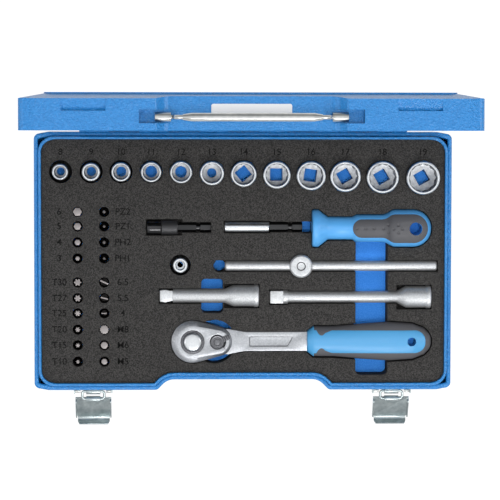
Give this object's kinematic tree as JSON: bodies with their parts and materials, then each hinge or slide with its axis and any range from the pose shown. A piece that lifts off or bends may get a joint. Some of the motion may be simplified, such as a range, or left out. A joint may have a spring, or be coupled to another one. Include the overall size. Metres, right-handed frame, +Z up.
{
  "type": "socket wrench set in case",
  "caption": "Sheet-steel case with a hinged lid, draw latches and a bail handle, whose foam tray holds a ratchet, sockets, extensions, T-handle, driver and bits.",
  "frame": {"origin": "middle of the underside of the case", "axes": "+Z up, +X to the right along the hinge, front with the latches towards -Y"},
  "size_m": [0.323, 0.2595, 0.2562],
  "materials": {
    "case_paint": "hammered blue stoving enamel on sheet steel",
    "zinc": "zinc-plated steel strip and wire",
    "foam_dark": "fine-celled dark grey foam",
    "foam_blue": "fine-celled blue foam",
    "label": "blank off-white label",
    "satin_chrome": "satin chrome on alloy steel",
    "bit_steel": "blasted tool steel",
    "black_steel": "blackened steel",
    "grip_blue": "moulded blue handle plastic",
    "grip_grey": "soft dark grey handle rubber"
  },
  "bodies": {
    "case_base": {"base_shell": "case_paint", "rim_lip": "case_paint", "hinge_leaf_base": "case_paint", "hinge_pin": "zinc", "foam_top": "foam_dark", "foam_bottom": "foam_blue", "latch_brackets": "zinc", "latch_rivets": "zinc"},
    "lid": {"lid_shell": "case_paint", "lid_pad": "foam_dark", "lid_label": "label", "hinge_leaf_lid": "case_paint", "handle_ferrules": "zinc"},
    "carry_handle": {"handle_bail": "zinc", "handle_grip": "zinc"},
    "latch_link_left": {"latch_link_left": "zinc"},
    "latch_clasp_left": {"latch_clasp_left": "zinc"},
    "latch_link_right": {"latch_link_right": "zinc"},
    "latch_clasp_right": {"latch_clasp_right": "zinc"},
    "socket_8": {"socket_8": "satin_chrome"},
    "socket_9": {"socket_9": "satin_chrome"},
    "socket_10": {"socket_10": "satin_chrome"},
    "socket_11": {"socket_11": "satin_chrome"},
    "socket_12": {"socket_12": "satin_chrome"},
    "socket_13": {"socket_13": "satin_chrome"},
    "socket_14": {"socket_14": "satin_chrome"},
    "socket_15": {"socket_15": "satin_chrome"},
    "socket_16": {"socket_16": "satin_chrome"},
    "socket_17": {"socket_17": "satin_chrome"},
    "socket_18": {"socket_18": "satin_chrome"},
    "socket_19": {"socket_19": "satin_chrome"},
    "hex_bits": {"hex_bits": "bit_steel"},
    "star_bits": {"star_bits": "bit_steel"},
    "cross_bits": {"cross_bits": "bit_steel"},
    "slotted_bits": {"slotted_bits": "bit_steel"},
    "spline_bits": {"spline_bits": "bit_steel"},
    "bit_adapter": {"bit_adapter": "satin_chrome"},
    "quick_chuck": {"quick_chuck_body": "black_steel"},
    "chuck_sleeve": {"quick_chuck_sleeve": "black_steel"},
    "magnet_holder": {"magnet_holder_sleeve": "satin_chrome", "magnet_holder_shank": "black_steel", "magnet_holder_magnet": "black_steel"},
    "driver": {"driver_handle": "grip_blue", "driver_grip_pads": "grip_grey"},
    "tbar": {"tbar_head": "satin_chrome", "tbar_ball": "satin_chrome"},
    "tbar_rod": {"tbar_rod": "satin_chrome"},
    "extension_75": {"extension_75": "satin_chrome", "extension_75_ball": "satin_chrome"},
    "extension_125": {"extension_125": "satin_chrome", "extension_125_ball": "satin_chrome"},
    "ratchet": {"ratchet_body": "satin_chrome", "ratchet_cover": "satin_chrome", "ratchet_grip": "grip_grey", "ratchet_inlay": "grip_blue"},
    "ratchet_drive": {"ratchet_drive": "satin_chrome", "ratchet_ball": "satin_chrome"},
    "ratchet_button": {"ratchet_button": "satin_chrome"},
    "ratchet_lever": {"ratchet_lever": "satin_chrome"},
    "ratchet_pawl": {"ratchet_pawl": "black_steel"}
  },
  "joints": [
    {"name": "lid_hinge", "type": "hinge", "parent": "case_base", "child": "lid", "pos_m": [0, 0.103, 0.03315], "axis": [-1, 0, 0], "range_deg": [-90, 0]},
    {"name": "handle_swing", "type": "hinge", "parent": "lid", "child": "carry_handle", "pos_m": [0, 0.11255, 0.23135], "axis": [-1, 0, 0], "range_deg": [-90, 0]},
    {"name": "link_left_swing", "type": "hinge", "parent": "case_base", "child": "latch_link_left", "pos_m": [-0.1165, -0.10235, 0.019], "axis": [1, 0, 0], "range_deg": [-105, 0]},
    {"name": "clasp_left_swing", "type": "hinge", "parent": "latch_link_left", "child": "latch_clasp_left", "pos_m": [-0.1165, -0.10863, 0.01732], "axis": [1, 0, 0], "range_deg": [-20, 0]},
    {"name": "link_right_swing", "type": "hinge", "parent": "case_base", "child": "latch_link_right", "pos_m": [0.1165, -0.10235, 0.019], "axis": [1, 0, 0], "range_deg": [-105, 0]},
    {"name": "clasp_right_swing", "type": "hinge", "parent": "latch_link_right", "child": "latch_clasp_right", "pos_m": [0.1165, -0.10863, 0.01732], "axis": [1, 0, 0], "range_deg": [-20, 0]},
    {"name": "socket_8_lift", "type": "slide", "parent": "case_base", "child": "socket_8", "axis": [0, 0, 1], "range_m": [0, 0.06]},
    {"name": "socket_9_lift", "type": "slide", "parent": "case_base", "child": "socket_9", "axis": [0, 0, 1], "range_m": [0, 0.06]},
    {"name": "socket_10_lift", "type": "slide", "parent": "case_base", "child": "socket_10", "axis": [0, 0, 1], "range_m": [0, 0.06]},
    {"name": "socket_11_lift", "type": "slide", "parent": "case_base", "child": "socket_11", "axis": [0, 0, 1], "range_m": [0, 0.06]},
    {"name": "socket_12_lift", "type": "slide", "parent": "case_base", "child": "socket_12", "axis": [0, 0, 1], "range_m": [0, 0.06]},
    {"name": "socket_13_lift", "type": "slide", "parent": "case_base", "child": "socket_13", "axis": [0, 0, 1], "range_m": [0, 0.06]},
    {"name": "socket_14_lift", "type": "slide", "parent": "case_base", "child": "socket_14", "axis": [0, 0, 1], "range_m": [0, 0.06]},
    {"name": "socket_15_lift", "type": "slide", "parent": "case_base", "child": "socket_15", "axis": [0, 0, 1], "range_m": [0, 0.06]},
    {"name": "socket_16_lift", "type": "slide", "parent": "case_base", "child": "socket_16", "axis": [0, 0, 1], "range_m": [0, 0.06]},
    {"name": "socket_17_lift", "type": "slide", "parent": "case_base", "child": "socket_17", "axis": [0, 0, 1], "range_m": [0, 0.06]},
    {"name": "socket_18_lift", "type": "slide", "parent": "case_base", "child": "socket_18", "axis": [0, 0, 1], "range_m": [0, 0.06]},
    {"name": "socket_19_lift", "type": "slide", "parent": "case_base", "child": "socket_19", "axis": [0, 0, 1], "range_m": [0, 0.06]},
    {"name": "hex_bits_lift", "type": "slide", "parent": "case_base", "child": "hex_bits", "axis": [0, 0, 1], "range_m": [0, 0.06]},
    {"name": "star_bits_lift", "type": "slide", "parent": "case_base", "child": "star_bits", "axis": [0, 0, 1], "range_m": [0, 0.06]},
    {"name": "cross_bits_lift", "type": "slide", "parent": "case_base", "child": "cross_bits", "axis": [0, 0, 1], "range_m": [0, 0.06]},
    {"name": "slotted_bits_lift", "type": "slide", "parent": "case_base", "child": "slotted_bits", "axis": [0, 0, 1], "range_m": [0, 0.06]},
    {"name": "spline_bits_lift", "type": "slide", "parent": "case_base", "child": "spline_bits", "axis": [0, 0, 1], "range_m": [0, 0.06]},
    {"name": "bit_adapter_lift", "type": "slide", "parent": "case_base", "child": "bit_adapter", "axis": [0, 0, 1], "range_m": [0, 0.06]},
    {"name": "quick_chuck_lift", "type": "slide", "parent": "case_base", "child": "quick_chuck", "axis": [0, 0, 1], "range_m": [0, 0.06]},
    {"name": "chuck_sleeve_slide", "type": "slide", "parent": "quick_chuck", "child": "chuck_sleeve", "axis": [1, 0, 0], "range_m": [0, 0.003], "stiffness_N_per_m": 200},
    {"name": "magnet_holder_lift", "type": "slide", "parent": "case_base", "child": "magnet_holder", "axis": [0, 0, 1], "range_m": [0, 0.06]},
    {"name": "driver_lift", "type": "slide", "parent": "case_base", "child": "driver", "axis": [0, 0, 1], "range_m": [0, 0.06]},
    {"name": "tbar_lift", "type": "slide", "parent": "case_base", "child": "tbar", "axis": [0, 0, 1], "range_m": [0, 0.06]},
    {"name": "tbar_rod_slide", "type": "slide", "parent": "tbar", "child": "tbar_rod", "axis": [1, 0, 0], "range_m": [-0.0065, 0]},
    {"name": "extension_75_lift", "type": "slide", "parent": "case_base", "child": "extension_75", "axis": [0, 0, 1], "range_m": [0, 0.06]},
    {"name": "extension_125_lift", "type": "slide", "parent": "case_base", "child": "extension_125", "axis": [0, 0, 1], "range_m": [0, 0.06]},
    {"name": "ratchet_lift", "type": "slide", "parent": "case_base", "child": "ratchet", "axis": [0, 0, 1], "range_m": [0, 0.06]},
    {"name": "drive_turn", "type": "hinge", "parent": "ratchet", "child": "ratchet_drive", "pos_m": [-0.0392, -0.0623, 0.023], "axis": [0, 0, 1], "continuous": true},
    {"name": "button_press", "type": "slide", "parent": "ratchet_drive", "child": "ratchet_button", "axis": [0, 0, 1], "range_m": [-0.0025, 0], "stiffness_N_per_m": 800},
    {"name": "lever_turn", "type": "hinge", "parent": "ratchet", "child": "ratchet_lever", "pos_m": [-0.0201, -0.0623, 0.023], "axis": [0, 0, 1], "range_deg": [-48, 0]},
    {"name": "pawl_rock", "type": "hinge", "parent": "ratchet", "child": "ratchet_pawl", "pos_m": [-0.0201, -0.0623, 0.023], "axis": [0, 0, 1], "range_deg": [-12, 0]}
  ],
  "couplings": [
    {"joint": "pawl_rock", "follows": "lever_turn", "ratio": 0.25}
  ]
}
